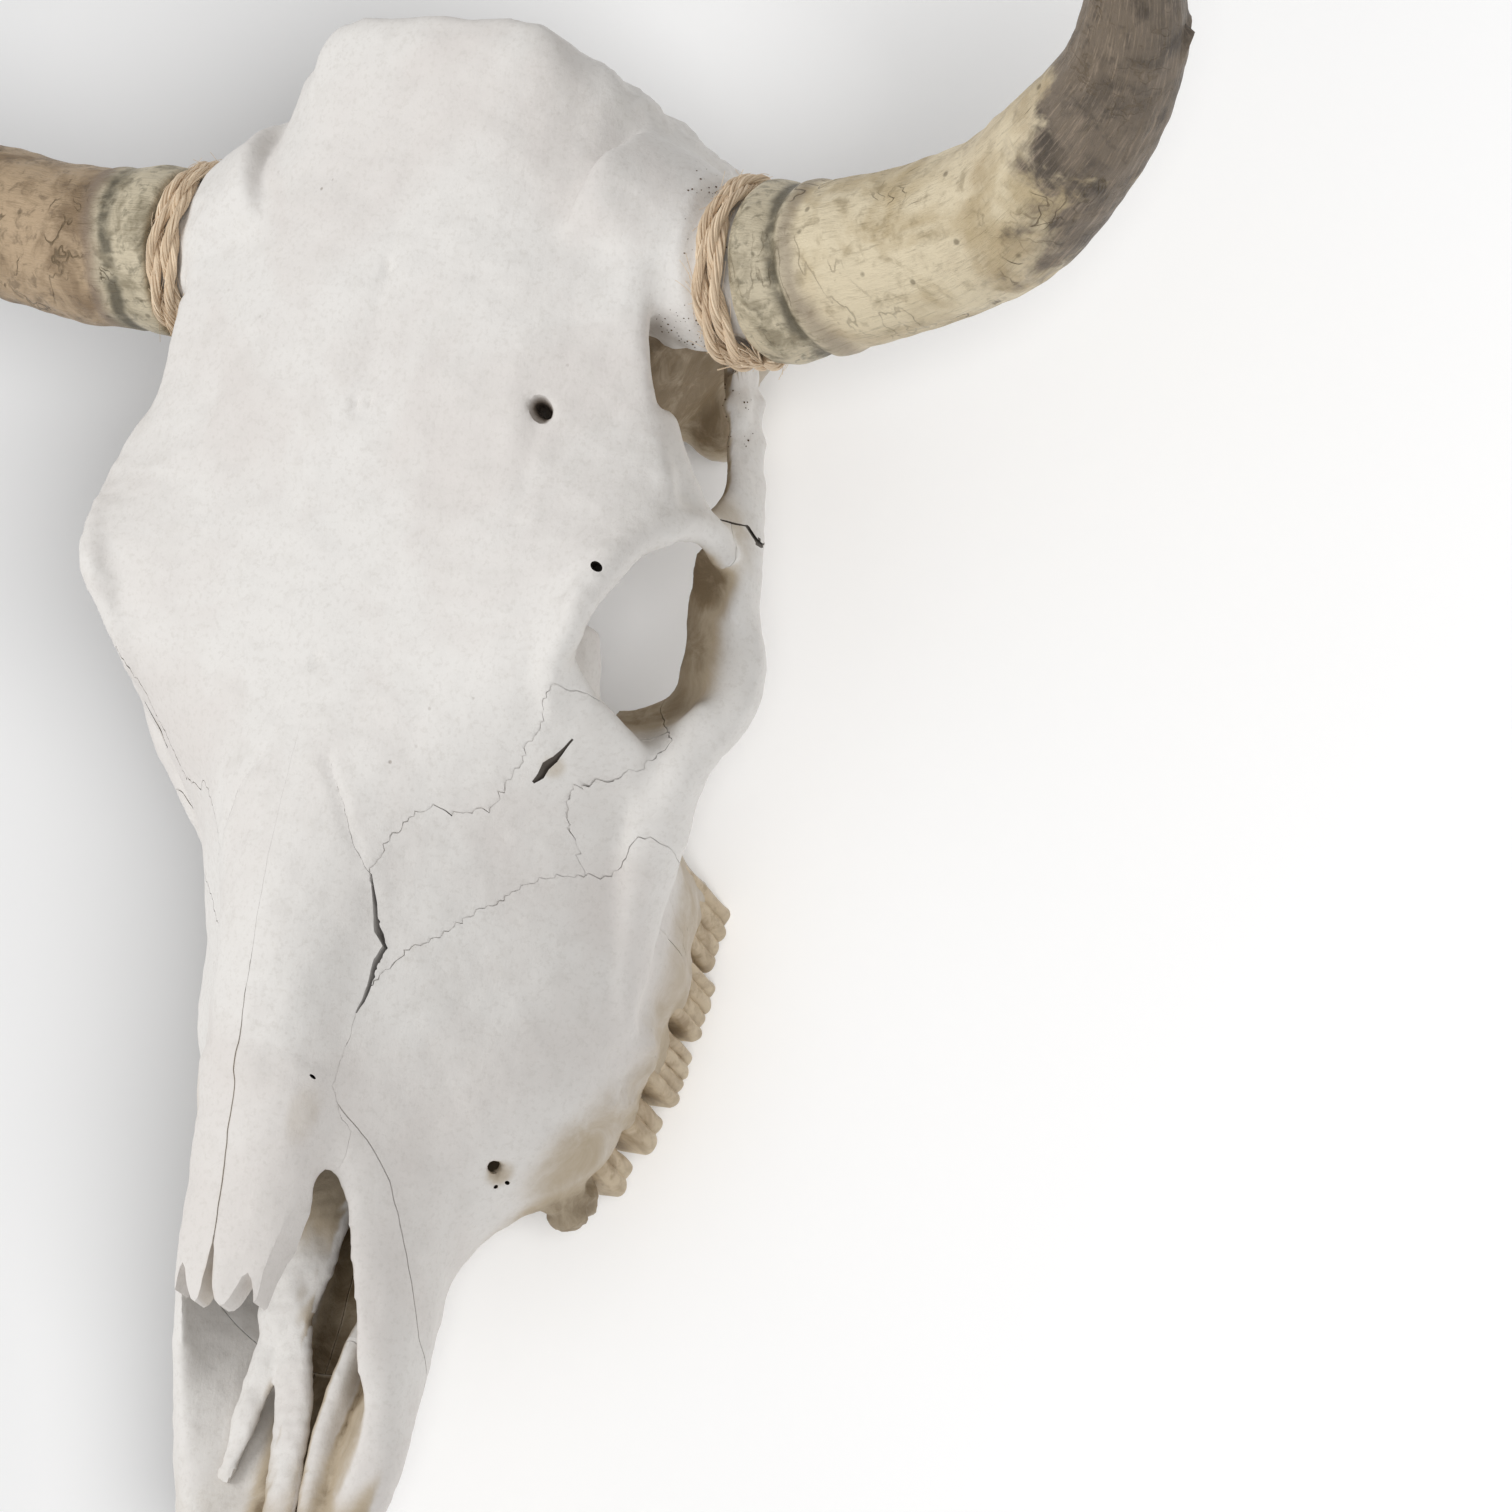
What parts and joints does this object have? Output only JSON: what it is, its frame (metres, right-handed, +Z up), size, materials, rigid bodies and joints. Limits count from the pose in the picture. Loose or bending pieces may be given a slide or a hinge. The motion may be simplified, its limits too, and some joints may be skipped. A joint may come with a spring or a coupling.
{
  "type": "cow skull",
  "caption": "Bleached horned cattle skull without its lower jaw, with open eye sockets and nose, curved horns and jute cord bound round each horn's foot.",
  "frame": {"origin": "centre of the bounding box's bottom, on the surface that the skull lies on", "axes": "+X to the animal's left, -Y towards the muzzle, +Z up; the skull lies on its last cheek teeth and occipital condyles"},
  "size_m": [0.5826, 0.5513, 0.2551],
  "materials": {
    "bone": "matte",
    "horn": "satin",
    "jute": "matte"
  },
  "bodies": {
    "root": {"cranium": "bone", "nasal_left": "bone", "nasal_right": "bone", "lacrimal_left": "bone", "lacrimal_right": "bone", "cheekbone_left": "bone", "cheekbone_right": "bone", "maxilla_left": "bone", "maxilla_right": "bone", "premaxilla_left": "bone", "premaxilla_right": "bone", "vomer": "bone", "horn_left": "horn", "rope_left": "jute", "horn_right": "horn", "rope_right": "jute"}
  },
  "joints": []
}
